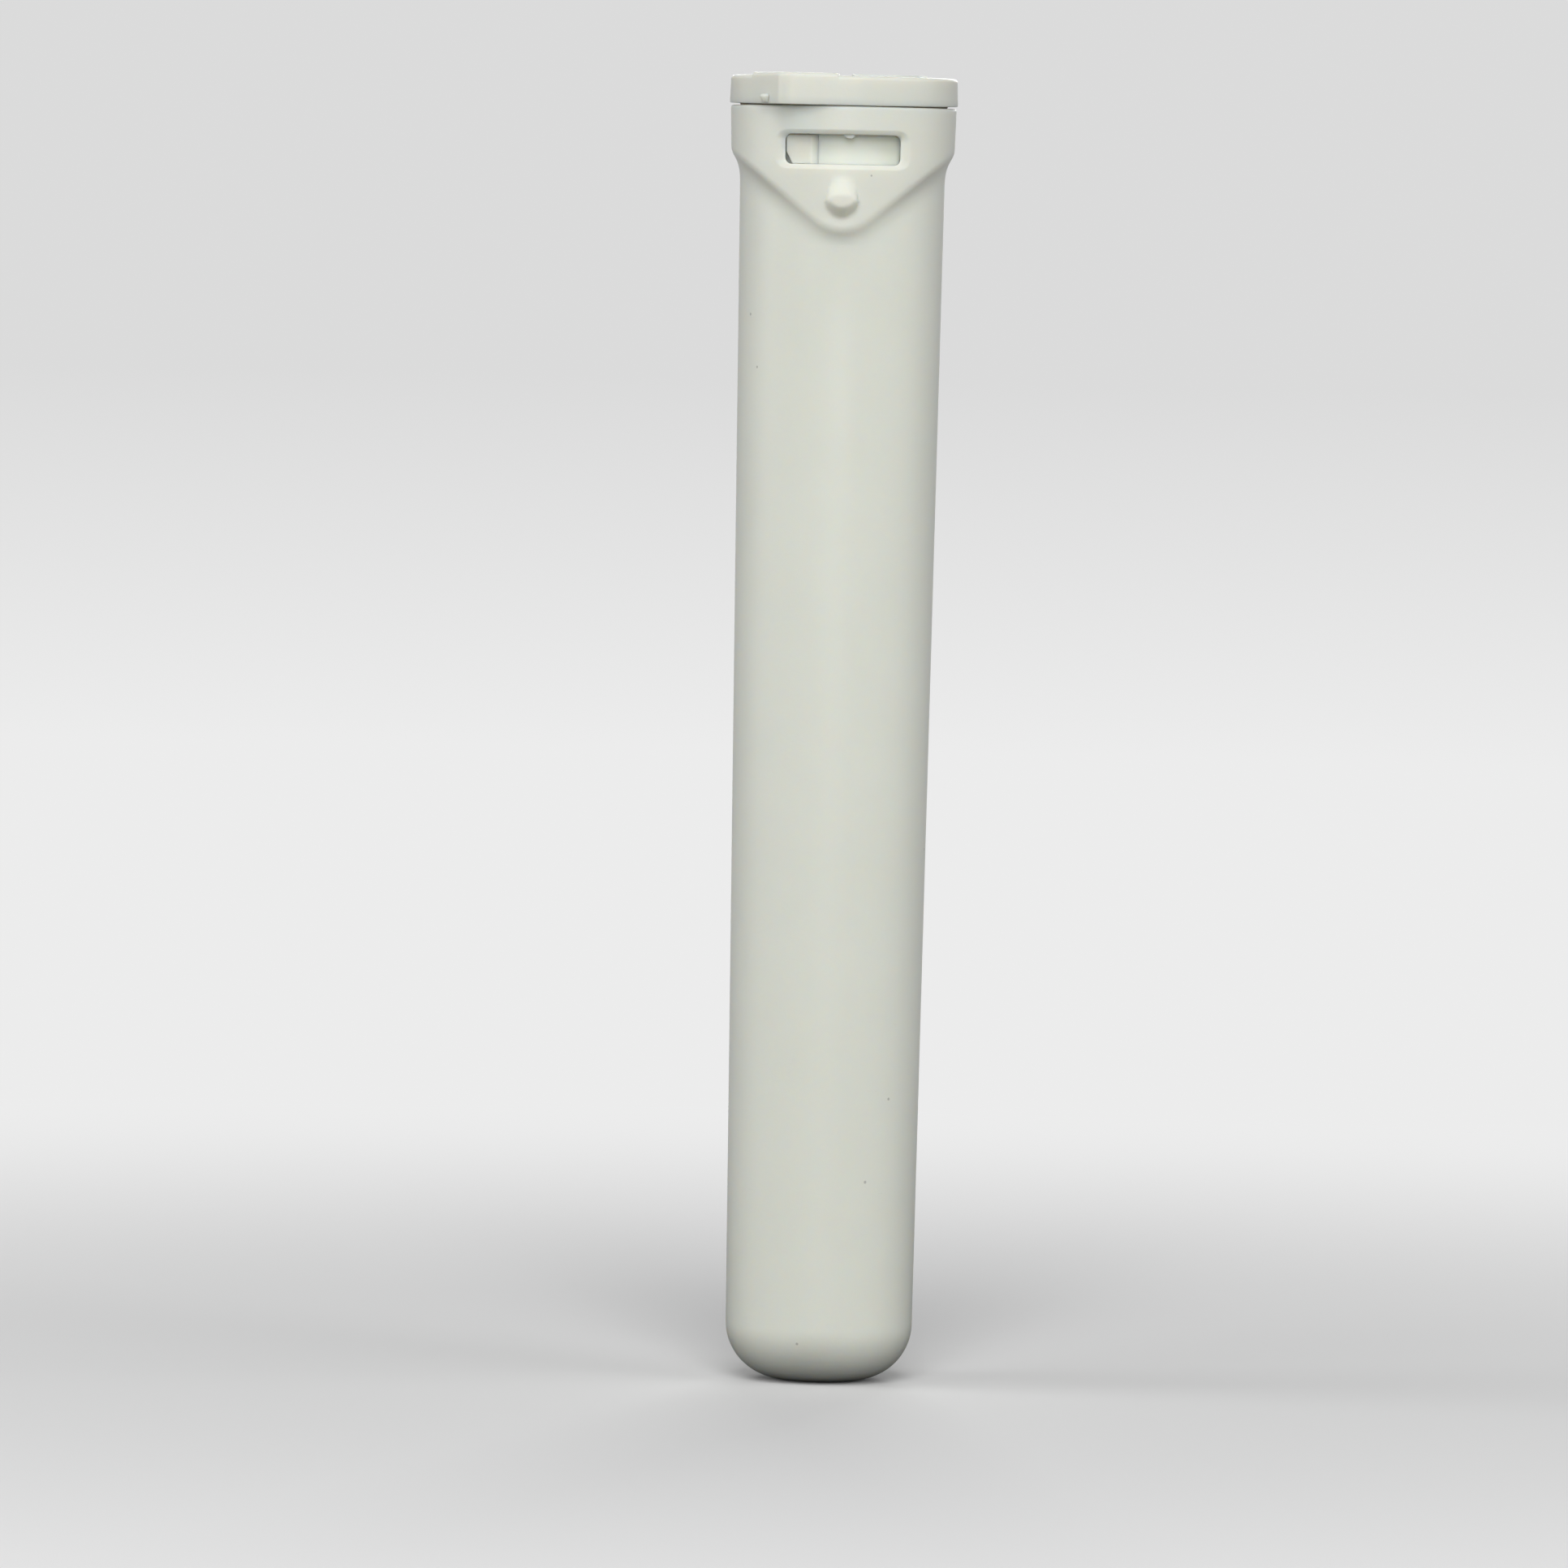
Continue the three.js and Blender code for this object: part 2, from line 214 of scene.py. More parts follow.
@dataclass
class TubeBody:
    """The moulded tube: round end, drafted wall, collar, pointed boss, bump and window."""

    sizes: TubeSizes
    knuckle_radius: float = 5.0
    crown_radius: float = 12.0
    stand_radius: float = 2.2
    collar_low: float = 9.9
    collar_high: float = 10.0
    collar_height: float = 3.8
    rim_round: float = 0.22
    boss_slope: float = 38.5
    boss_drop: float = 7.1
    boss_tip: float = 3.7
    boss_sink: float = 0.28
    tip_round: float = 0.78
    side_round: float = 0.74
    tip_hollow: float = 1.85
    side_hollow: float = 2.1
    edge_shift: float = 0.36
    drop_radius: float = 1.45
    drop_neck: float = 1.1
    drop_run: float = 1.6
    drop_reach: float = 0.7
    drop_rise: float = 2.0
    drop_below: float = 8.3
    lip_side: float = 0.95
    lip_edge: float = 0.45
    lip_depth: float = 0.52
    lip_steps: tuple[tuple[float, float], ...] = (
        (0.0, 0.0), (0.08, 0.015), (0.18, 0.07), (0.32, 0.19), (0.5, 0.36), (0.68, 0.53), (0.82, 0.68),
        (0.92, 0.81), (0.98, 0.91), (1.0, 1.0),
    )
    window_corner: float = 0.55
    patch_half_angle: float = 46.0
    patch_low: float = 106.9
    patch_high: float = 111.9

    @property
    def collar_bottom(self) -> float:
        """Height of the collar's lower edge."""
        return self.sizes.collar_top - self.collar_height

    def edge_distance(self, x: Points, z: Points) -> Points:
        """How far a point of the front view lies inside the pointed boss.

        It is the distance above two sloping lines, and near the tip the tip radius less the distance
        from the tip's centre.
        """
        slope = math.radians(self.boss_slope)
        centre = self.collar_bottom - self.boss_drop + self.boss_tip
        side = np.abs(x)
        line = (z - centre) * math.cos(slope) - side * math.sin(slope) + self.boss_tip
        from_centre = np.hypot(side, z - centre)
        in_tip = (centre - z) * math.sin(slope) > side * math.cos(slope)
        return np.where(in_tip, self.boss_tip - from_centre, line)

    def edge_profile(self, distance: Points, x: Points) -> Points:
        """Share of the full height across the boss's edge: a rounded corner that runs into a hollow.

        The corner falls as a parabola and the hollow as a third power, and they meet with the same
        slope a little outside the edge. The hollow is wider at the sides than under the tip.
        """
        place = distance + self.edge_shift
        aside = smooth((np.abs(x) - 1.0) / 3.0)
        edge = self.tip_round + (self.side_round - self.tip_round) * aside
        hollow = self.tip_hollow + (self.side_hollow - self.tip_hollow) * aside
        share = 3.0 * edge / (3.0 * edge + 2.0 * hollow)
        corner = 1.0 - share * (1.0 - np.clip(place / edge, 0.0, 1.0)) ** 2
        foot = (1.0 - share) * (1.0 - np.clip(-place / hollow, 0.0, 1.0)) ** 3
        return np.where(place >= 0, corner, foot)

    def ring_profile(self, z: Points) -> Points:
        """Share of the collar's height below its lower edge: a sloping face, then a long hollow."""
        below = np.array([-0.2, 0.0, 0.15, 0.45, 0.9, 1.2, 1.6, 2.1, 2.6])
        share = np.array([1.0, 0.985, 0.92, 0.64, 0.26, 0.15, 0.07, 0.02, 0.0])
        return np.interp(self.collar_bottom - z, below, share)

    def drop_height(self, x: Points, z: Points) -> Points:
        """Height of the teardrop bump: a tapered finger, steep at its lower end, that runs out upwards."""
        centre = self.sizes.collar_top - self.drop_below
        along = np.clip((z - centre) / self.drop_run, 0.0, 1.0)
        radius = self.drop_radius + (self.drop_neck - self.drop_radius) * along
        distance = radius - np.hypot(x, z - centre - along * self.drop_run)
        below = smooth((centre + 0.2 - z) / 1.3)
        above = smooth((z - centre) / 2.0)
        across = np.clip(distance / (radius * (0.42 + 0.56 * below + 0.55 * above)), 0.0, 1.0)
        dome = np.sqrt(np.clip(1.0 - (1.0 - across) ** 2, 0.0, 1.0))
        slope = (across - np.clip(across - 0.15, 0.0, None) ** 2 / 1.7) / 0.575
        dome = dome + (slope - dome) * below
        dome = dome + 0.6 * (smooth(across) - dome) * above
        reach = self.drop_reach * (1.0 - smooth((z - centre - 0.35) / self.drop_rise))
        foot = 0.1 * np.clip(1.0 + distance / 0.3, 0.0, 1.0) ** 2
        return np.where(distance > 0, np.maximum(reach * dome, 0.0), 0.0) + foot * reach

    def outer(self, angle: Points, z: Points) -> Points:
        """Outer radius at an angle and height: the tube, then the collar and boss, then the bump.

        The boss sinks a little towards its tip.
        """
        angle = (angle + 180.0) % 360.0 - 180.0
        turn = np.radians(np.clip(angle, -90, 90))
        past = np.sign(angle) * np.radians(np.clip(np.abs(angle) - 90, 0, None))
        x = self.collar_low * (np.sin(turn) + past)
        tube = self.sizes.radius(z)
        part = np.clip((z - self.collar_bottom) / self.collar_height, 0.0, 1.0)
        collar = self.collar_low + (self.collar_high - self.collar_low) * part
        sunk = 1.0 - self.boss_sink * smooth((self.collar_bottom - z) / self.boss_drop)
        front = sunk * self.edge_profile(self.edge_distance(x, z), x)
        height = np.maximum(front, self.ring_profile(z))
        facing = np.abs(angle) < 30
        return tube + (collar - tube) * height + np.where(facing, self.drop_height(x, z), 0.0)

    def columns(self) -> Points:
        """Angles of the grid's columns, close together at the front."""
        front = np.linspace(-self.patch_half_angle, self.patch_half_angle, 128)
        side = np.linspace(self.patch_half_angle, 100.0, 76)[1:]
        back = np.linspace(100.0, 260.0, 62)[1:-1]
        return np.concatenate([front, side, back, 360.0 - side[::-1]])

    def end_rows(self, inset: float, steps: int) -> tuple[Points, Points]:
        """Radii and heights of the round end, inset from the outer form: a flat, the crown, the knuckle."""
        knuckle_x = float(self.sizes.radius(self.knuckle_radius)) - self.knuckle_radius
        sweep = math.asin((knuckle_x - self.stand_radius) / (self.crown_radius - self.knuckle_radius))
        knuckle_z = self.crown_radius - (self.crown_radius - self.knuckle_radius) * math.cos(sweep)
        turn = np.linspace(sweep, math.pi / 2, steps)
        knuckle = self.knuckle_radius - inset
        radii = np.concatenate([[0, 1.5, self.stand_radius], knuckle_x + knuckle * np.sin(turn)])
        heights = np.concatenate([[inset, inset, inset], knuckle_z - knuckle * np.cos(turn)])
        return radii, heights

    def window_ring(self, angles: Points, heights: Points) -> tuple[Points, Points]:
        """Window edge points, as x and z, for points of the patch's border, and the outward directions."""
        half = np.array([self.sizes.window_width / 2, self.sizes.window_height / 2])
        middle = np.array([0.0, self.sizes.window_middle])
        patch_middle = (self.patch_low + self.patch_high) / 2
        unit = np.stack(
            [angles / self.patch_half_angle, (heights - patch_middle) / (self.patch_high - patch_middle)],
            axis=1,
        )
        place = unit * half
        core = np.clip(place, -(half - self.window_corner), half - self.window_corner)
        away = place - core
        length = np.maximum(np.linalg.norm(away, axis=1, keepdims=True), 1e-9)
        direction = away / length
        return middle + core + direction * self.window_corner, direction

    def border(self, angles: Points, heights: Points) -> tuple[Points, Points]:
        """Angles and heights around the patch's border, anticlockwise from its lower left."""
        low = np.stack([angles, np.full_like(angles, heights[0])], axis=1)[:-1]
        right = np.stack([np.full_like(heights, angles[-1]), heights], axis=1)[:-1]
        high = np.stack([angles[::-1], np.full_like(angles, heights[-1])], axis=1)[:-1]
        left = np.stack([np.full_like(heights, angles[0]), heights[::-1]], axis=1)[:-1]
        loop = np.concatenate([low, right, high, left])
        return loop[:, 0], loop[:, 1]

    def on_outer(self, flat: Points) -> Points:
        """Points of the front view laid on the outer surface, by the radius found in three steps."""
        x, z = flat[:, 0], flat[:, 1]
        radius = np.full_like(x, self.collar_high)
        for _ in range(3):
            angle = np.degrees(np.arcsin(np.clip(x / radius, -1, 1)))
            radius = self.outer(angle, z)
        return around(radius, np.degrees(np.arcsin(x / radius)), z)

    def window_grid(self, angles: Points, heights: Points) -> Points:
        """Rings from the patch's border in to the window, over its sloping lip and back to the bore.

        The patch's columns and rows give the border, and each ring has a point for each border point.
        """
        loop_angle, loop_height = self.border(angles, heights)
        edge, direction = self.window_ring(loop_angle, loop_height)
        outside = around(self.outer(loop_angle, loop_height), loop_angle, loop_height)
        lip = self.lip_side * direction[:, :1] ** 2 + self.lip_edge * direction[:, 1:] ** 2
        flat_outside = outside[:, [0, 2]]
        lip_start = edge + direction * lip
        rings = [outside]
        for share in np.linspace(0.0, 1.0, 15)[1:-1] ** 0.8:
            rings.append(self.on_outer(flat_outside + (lip_start - flat_outside) * share))
        for inwards, deep in self.lip_steps:
            ring = self.on_outer(edge + direction * lip * (1.0 - inwards))
            ring[:, 1] += self.lip_depth * lip[:, 0] * deep
            rings.append(ring)
        last = rings[-1]
        bore = last.copy()
        bore[:, 1] = -np.sqrt(self.bore(edge[:, 1]) ** 2 - edge[:, 0] ** 2)
        rings += [last + (bore - last) * share for share in (0.35, 0.7, 1.0)]
        inside = around(self.bore(loop_height), loop_angle, loop_height)
        for share in (0.35, 1.0):
            ring = bore + (inside - bore) * share
            reach = self.bore(ring[:, 2]) / np.hypot(ring[:, 0], ring[:, 1])
            ring[:, :2] *= reach[:, None]
            rings.append(ring)
        rings[-1] = inside
        return np.stack(rings)

    def bore(self, z: Points) -> Points:
        """Radius of the bore at a height."""
        return self.sizes.radius(z) - self.sizes.wall

    def skin(self) -> Skin:
        """The whole body as one closed skin, with the window in its wall."""
        top = self.sizes.collar_top
        angles = self.columns()
        radii, heights = self.end_rows(0.0, 34)
        wall_rows = np.linspace(heights[-1], 100.9, 14)[1:]
        fine_rows = np.linspace(100.9, self.patch_low, 62)[1:]
        patch_rows = np.linspace(self.patch_low, self.patch_high, 40)
        upper_rows = np.linspace(self.patch_high, top - self.rim_round, 5)[1:]
        outer_rows = np.concatenate([wall_rows, fine_rows, patch_rows[1:], upper_rows])
        rings = [around(r, angles, z) for r, z in zip(radii, heights)]
        rings += [around(self.outer(angles, z), angles, z) for z in outer_rows]
        patch_start = len(radii) + len(wall_rows) + len(fine_rows) - 1
        turn = np.linspace(0, math.pi / 2, 6)[1:]
        for t in turn:
            radius = self.outer(angles, np.full_like(angles, top - self.rim_round))
            rings.append(around(radius - self.rim_round * (1 - math.cos(t)), angles,
                                top - self.rim_round * (1 - math.sin(t))))
        bore_top = float(self.bore(top))
        for t in turn[::-1][1:]:
            rings.append(around(bore_top + self.rim_round * (1 - math.cos(t)), angles,
                                top - self.rim_round * (1 - math.sin(t))))
        inner_rows = np.concatenate([[top - self.rim_round], patch_rows[::-1]])
        inner_start = len(rings) + 1
        rings += [around(self.bore(z), angles, z) for z in inner_rows]
        inner_radii, inner_heights = self.end_rows(self.sizes.wall, 10)
        rings += [around(r, angles, z) for r, z in zip(inner_radii[::-1], inner_heights[::-1])]
        grid = np.stack(rings)
        keep = np.ones((len(rings) - 1, len(angles)), bool)
        span = len(patch_rows) - 1
        in_patch = np.arange(len(angles)) < np.count_nonzero(angles <= self.patch_half_angle) - 1
        for start in (patch_start, inner_start):
            keep[start:start + span, in_patch] = False
        skin = Skin()
        skin.add(grid, keep=keep)
        patch_angles = angles[angles <= self.patch_half_angle]
        skin.add(self.window_grid(patch_angles, patch_rows))
        return skin

    def bead(self) -> Skin:
        """The small bead that hangs from the window's upper edge: rings that shrink towards the front."""
        turn = np.linspace(0, 2 * math.pi, 49)[:-1]
        steps = [(0.0, 8.95), (0.85, 8.95), (1.0, 9.1), (1.0, 9.29), (0.96, 9.37), (0.86, 9.43),
                 (0.6, 9.45), (0.0, 9.45)]
        rings = []
        for share, reach in steps:
            x = 0.58 + share * 0.55 * np.sign(np.cos(turn)) * np.abs(np.cos(turn)) ** 0.7
            z = self.sizes.window_top + 0.12 + share * 0.48 * np.sin(turn)
            rings.append(np.stack([x, np.full(len(turn), -reach), z], axis=1))
        skin = Skin()
        skin.add(np.stack(rings))
        return skin


@dataclass
class Cap:
    """The turning cap: lid with its beak, plug with its lug, wedge and turn arrow."""

    sizes: TubeSizes
    radius: float = 10.1
    draft: float = 0.06
    top_round: float = 0.36
    bottom_round: float = 0.1
    sag: float = 0.15
    plate: float = 1.2
    plug_clearance: float = 0.12
    plug_wall: float = 0.9
    plug_below: float = 0.5
    seal_outer: float = 9.2
    seal_thickness: float = 0.9
    seal_clearance: float = 0.1
    beak_angle: float = -27.6
    beak_reach: float = 1.35
    beak_tip: float = 1.6
    pad_inner: float = 7.4
    pad_from: float = -54.0
    pad_to: float = -3.3
    lug_reach: float = 9.35
    lug_facing: float = -12.0
    lug_arc: float = 18.1
    lug_end_gap: float = 0.015
    lug_height: float = 2.62
    lug_top_gap: float = 0.02
    lug_edge: float = 0.12

    @property
    def plug_bottom(self) -> float:
        """Height of the plug's lower end."""
        return self.sizes.window_top - self.sizes.window_height - self.plug_below

    @property
    def plug_radius(self) -> float:
        """Outer radius of the plug."""
        return self.sizes.radius(self.plug_bottom) - self.sizes.wall - self.plug_clearance

    @property
    def lug_from(self) -> float:
        """Angle of the lug's left end, just clear of the window's side."""
        return -math.degrees(math.asin((self.sizes.window_width / 2 - self.lug_end_gap) / self.lug_reach))

    def outline(self, angle: Points) -> Points:
        """Radius of the lid's plan: a circle, and two flats tangent to it that meet in a round tip."""
        distance = self.radius + self.beak_reach - self.beak_tip
        spread = math.acos((self.radius - self.beak_tip) / distance)
        away = np.abs(np.radians(angle - self.beak_angle))
        away = np.minimum(away, 2 * math.pi - away)
        tip_end = math.atan2(self.beak_tip * math.sin(spread), distance + self.beak_tip * math.cos(spread))
        inside = np.clip(self.beak_tip ** 2 - (distance * np.sin(away)) ** 2, 0, None)
        tip = distance * np.cos(away) + np.sqrt(inside)
        flat = self.radius / np.cos(np.clip(away, 0, spread) - spread)
        return np.where(away < tip_end, tip, np.where(away < spread, flat, self.radius))

    def columns(self) -> Points:
        """Angles of the columns, close together along the beak and at the ends of its raised pad."""
        beak = np.linspace(-60.0, 2.0, 190)
        rest = np.linspace(2.0, 300.0, 220)[1:-1]
        ends = np.array([self.pad_from, self.pad_to])
        near = np.concatenate([ends - 0.12, ends + 0.12])
        beak = beak[np.min(np.abs(beak[:, None] - ends[None]), axis=1) > 0.2]
        return np.sort(np.concatenate([beak, near, rest]))

    def rise(self, angle: Points, radius: Points) -> Points:
        """Height of the beak's raised pad above the lid, with steep ends."""
        wrapped = np.where(angle > 180, angle - 360, angle)
        inside = (wrapped > self.pad_from) & (wrapped < self.pad_to)
        return np.where(inside & (radius > self.pad_inner), self.sizes.beak_rise, 0.0)

    def skin(self) -> Skin:
        """The cap without its lug, as one closed skin."""
        angles = self.columns()
        sizes = self.sizes
        recess_top = sizes.collar_top + self.seal_thickness + self.seal_clearance / 2
        recess = self.seal_outer + self.seal_clearance
        ceiling = sizes.lid_top - self.plate
        bore = self.plug_radius - self.plug_wall
        turned = [
            (0, ceiling), (bore - 0.5, ceiling), (bore, ceiling - 0.5), (bore, self.plug_bottom + 0.1),
            (bore + 0.1, self.plug_bottom), (self.plug_radius - 0.3, self.plug_bottom),
            (self.plug_radius - 0.05, self.plug_bottom + 0.35), (self.plug_radius, self.plug_bottom + 0.6),
            (self.plug_radius, recess_top), (recess, recess_top), (recess, sizes.lid_bottom + 0.05),
            (recess + 0.05, sizes.lid_bottom),
        ]
        rings = [around(r, angles, z) for r, z in turned]
        plan = self.outline(angles)
        edge = sizes.lid_bottom - self.sag * np.clip(np.cos(np.radians(angles)), 0.0, 1.0)
        for t in np.linspace(0, math.pi / 2, 4):
            rings.append(around(plan - self.bottom_round * (1 - math.sin(t)), angles,
                                edge + self.bottom_round * (1 - math.cos(t))))
        lift = self.rise(angles, plan)
        body = sizes.lid_height - self.bottom_round - self.top_round
        for share in (0.25, 0.5, 0.75):
            z = sizes.lid_bottom + self.bottom_round + share * (body + lift)
            rings.append(around(plan - self.draft * share, angles, z))
        for t in np.linspace(0, math.pi / 2, 8):
            inset = self.draft + self.top_round * (1 - math.cos(t))
            rings.append(around(plan - inset, angles, sizes.lid_top + lift - self.top_round * (1 - math.sin(t))))
        for radius in (9.2, 8.6, 8.0, self.pad_inner + 0.04, self.pad_inner - 0.04, 6.0, 4.0, 2.0, 0.0):
            rings.append(around(radius, angles, sizes.lid_top + self.rise(angles, np.full_like(angles, radius))))
        skin = Skin()
        skin.add(np.stack(rings))
        return skin

    def lug(self) -> Skin:
        """The lug on the plug, as a front grid and a back grid that share their border.

        Its face is flat. Its right side runs out softly into the plug, its other sides are steep, and
        its lower left corner is cut.
        """
        degree = math.degrees(1 / self.lug_reach)
        width = self.lug_arc / degree
        low = self.plug_radius - 0.1
        steep = np.array([0.0, 0.001, 0.01, 0.03, 0.06, 0.09])
        across = np.concatenate([steep, np.linspace(self.lug_edge, width, 44)])
        middle = np.linspace(self.lug_edge, self.lug_height - self.lug_edge, 38)
        down = np.concatenate([steep, middle, self.lug_height - steep[::-1]])
        across, down = np.meshgrid(across, down)
        up = self.lug_height - down
        share = self.lug_wall(across, low) * self.lug_wall(down, low) * self.lug_wall(up, low)
        share = share * smooth((width - across) / 0.7) * smooth((2.0 * across + up - 0.8) / 0.4)
        angles = self.lug_from + across * degree
        heights = self.sizes.window_top - self.lug_top_gap - down
        face = self.lug_reach * math.cos(math.radians(self.lug_from - self.lug_facing))
        face = face / np.cos(np.radians(angles - self.lug_facing))
        back = np.full_like(across, low)
        back[1:-1, 1:-1] -= 0.05
        skin = Skin()
        skin.add(around(low + (face - low) * share, angles, heights), closed=False)
        skin.add(around(back, angles, heights), closed=False)
        return skin

    def lug_wall(self, distance: Points, low: float) -> Points:
        """Share of the lug's height at a distance inside a steep side: a wall with a rounded edge."""
        edge = self.lug_edge / (self.lug_reach - low)
        turn = np.clip(distance / self.lug_edge, 0.0, 1.0)
        return np.where(distance > 0, 1.0 - edge + edge * np.sqrt(1.0 - (1.0 - turn) ** 2), 0.0)

    def wedge(self) -> Skin:
        """The little wedge low on the beak's left flank: it grows outwards as it goes up."""
        low = self.sizes.lid_bottom + 0.02
        turn = np.linspace(0, 2 * math.pi, 33)[:-1]
        levels = [(0.6, 0.0), (0.7, 0.08), (0.82, 0.24), (0.95, 0.42), (1.0, 0.52), (0.93, 0.62),
                  (0.7, 0.71), (0.35, 0.75)]
        spot = math.radians(-40.3)
        outwards = np.array([math.sin(math.radians(-50.0)), -math.cos(math.radians(-50.0))])
        along = np.array([-outwards[1], outwards[0]])
        foot = np.array([math.sin(spot), -math.cos(spot)]) * float(self.outline(np.array([-40.3]))[0])
        rings = []
        for scale, height in [(0.0, 0.0), *levels, (0.0, 0.76)]:
            side = 0.45 * np.sign(np.cos(turn)) * np.abs(np.cos(turn)) ** 0.8 * min(1.0, scale + 0.05)
            reach = 0.55 * np.sin(turn) * scale
            flat = foot + side[:, None] * along * (scale > 0) + reach[:, None] * outwards
            rings.append(np.column_stack([flat, np.full(len(turn), low + height)]))
        skin = Skin()
        skin.add(np.stack(rings))
        return skin

    def arrow(self) -> bpy.types.Object:
        """A raised turn arrow on the lid: a band of arc with a pointed head at its end."""
        inner, outer, first, last, head = 6.5, 7.5, 6.0, 62.0, 13.0
        run = np.linspace(first, last, 30)
        height = self.sizes.lid_top
        outside = around(outer, run, height)
        tip = around(np.array([outer + 0.8, (inner + outer) / 2, inner - 0.8]),
                     np.array([last, last + head, last]), height)
        inside = around(inner, run[::-1], height)
        loop = np.concatenate([outside, tip, inside])
        low = loop - np.array([0, 0, 0.15])
        high = loop + np.array([0, 0, 0.2])
        count = len(loop)
        points = np.concatenate([low, high]) * MM
        side = [(i, (i + 1) % count, (i + 1) % count + count, i + count) for i in range(count)]
        mesh = bpy.data.meshes.new("turn_arrow")
        faces = [tuple(range(count))[::-1], tuple(range(count, 2 * count)), *side]
        mesh.from_pydata(points.tolist(), [], faces)
        piece = finish_mesh("turn_arrow", mesh, 30.0)
        bevel = piece.modifiers.new("edge", "BEVEL")
        bevel.width = 0.07 * MM
        bevel.segments = 2
        return piece


@dataclass
class SealRing:
    """The soft ring under the lid."""

    sizes: TubeSizes
    cap: Cap

    def skin(self) -> Skin:
        """A closed ring with rounded edges."""
        inner = self.cap.plug_radius + self.cap.seal_clearance
        outer = self.cap.seal_outer
        low = self.sizes.collar_top
        high = low + self.cap.seal_thickness
        edge = 0.15
        profile = [
            (inner + edge, low), (outer - edge, low), (outer - 0.04, low + 0.04), (outer, low + edge),
            (outer, high - edge), (outer - 0.04, high - 0.04), (outer - edge, high), (inner + edge, high),
            (inner + 0.04, high - 0.04), (inner, high - edge), (inner, low + edge), (inner + 0.04, low + 0.04),
            (inner + edge, low),
        ]
        angles = np.linspace(0, 360, 161)[:-1]
        skin = Skin()
        skin.add(np.stack([around(r, angles, z) for r, z in profile]))
        return skin


class Coordinates(Enum):
    """Which output of the Texture Coordinate node a pattern reads."""

    OBJECT = "Object"


def new_finish(name: str) -> tuple:
    """Makes a material, and gives it with its node tree, its shader and its object coordinates."""
    material = bpy.data.materials.new(name)
    material.use_nodes = True
    tree = material.node_tree
    place = tree.nodes.new("ShaderNodeTexCoord").outputs[Coordinates.OBJECT.value]
    return material, tree, tree.nodes["Principled BSDF"], place


class Groups:
    """Shader node groups that more than one finish uses."""

    @staticmethod
    def new(name: str, inputs: dict[str, float], outputs: dict[str, str]) -> bpy.types.NodeTree:
        """Makes an empty group with a vector input, value inputs with defaults, and typed outputs."""
        group = bpy.data.node_groups.new(name, "ShaderNodeTree")
        group.interface.new_socket("Vector", in_out="INPUT", socket_type="NodeSocketVector")
        for label, value in inputs.items():
            socket = group.interface.new_socket(label, in_out="INPUT", socket_type="NodeSocketFloat")
            socket.default_value = value
        for label, kind in outputs.items():
            group.interface.new_socket(label, in_out="OUTPUT", socket_type=kind)
        group.nodes.new("NodeGroupInput").name = "in"
        group.nodes.new("NodeGroupOutput").name = "out"
        return group

    @staticmethod
    def math(tree: bpy.types.NodeTree, how: str, first, second) -> bpy.types.NodeSocket:
        """Adds a Math node that joins two values, each a socket or a number, and returns its output."""
        node = tree.nodes.new("ShaderNodeMath")
        node.operation = how
        for slot, value in zip(node.inputs, (first, second)):
            if isinstance(value, bpy.types.NodeSocket):
                tree.links.new(value, slot)
            else:
                slot.default_value = value
        return node.outputs[0]

    @classmethod
    def mottle(cls) -> bpy.types.NodeTree:
        """Soft uneven tone of moulded plastic, and its very fine grain as a height."""
        group = cls.new("mould_mottle", {"Scale": 90.0, "Grain": 2600.0},
                        {"Tone": "NodeSocketFloat", "Height": "NodeSocketFloat"})
        start, end = group.nodes["in"], group.nodes["out"]
        broad = group.nodes.new("ShaderNodeTexNoise")
        broad.inputs["Detail"].default_value = 3.0
        fine = group.nodes.new("ShaderNodeTexNoise")
        fine.inputs["Detail"].default_value = 2.0
        group.links.new(start.outputs["Vector"], broad.inputs["Vector"])
        group.links.new(start.outputs["Scale"], broad.inputs["Scale"])
        group.links.new(start.outputs["Vector"], fine.inputs["Vector"])
        group.links.new(start.outputs["Grain"], fine.inputs["Scale"])
        group.links.new(broad.outputs["Fac"], end.inputs["Tone"])
        group.links.new(fine.outputs["Fac"], end.inputs["Height"])
        return group

    @classmethod
    def scuffs(cls) -> bpy.types.NodeTree:
        """Short fine marks across the tube, between two heights, as a mask."""
        group = cls.new("fine_scuffs", {"Scale": 1.0, "Low": 0.015, "High": 0.04},
                        {"Mask": "NodeSocketFloat"})
        start, end = group.nodes["in"], group.nodes["out"]
        mapping = group.nodes.new("ShaderNodeMapping")
        mapping.inputs["Scale"].default_value = (260.0, 260.0, 2400.0)
        mapping.inputs["Rotation"].default_value = (0.0, 0.12, 0.0)
        group.links.new(start.outputs["Vector"], mapping.inputs["Vector"])
        marks = group.nodes.new("ShaderNodeTexNoise")
        marks.inputs["Detail"].default_value = 4.0
        marks.inputs["Roughness"].default_value = 0.7
        group.links.new(mapping.outputs["Vector"], marks.inputs["Vector"])
        group.links.new(start.outputs["Scale"], marks.inputs["Scale"])
        split = group.nodes.new("ShaderNodeSeparateXYZ")
        group.links.new(start.outputs["Vector"], split.inputs["Vector"])
        above = cls.math(group, "GREATER_THAN", split.outputs["Z"], start.outputs["Low"])
        below = cls.math(group, "LESS_THAN", split.outputs["Z"], start.outputs["High"])
        band = cls.math(group, "MULTIPLY", above, below)
        strong = cls.math(group, "GREATER_THAN", marks.outputs["Fac"], 0.71)
        group.links.new(cls.math(group, "MULTIPLY", strong, band), end.inputs["Mask"])
        return group


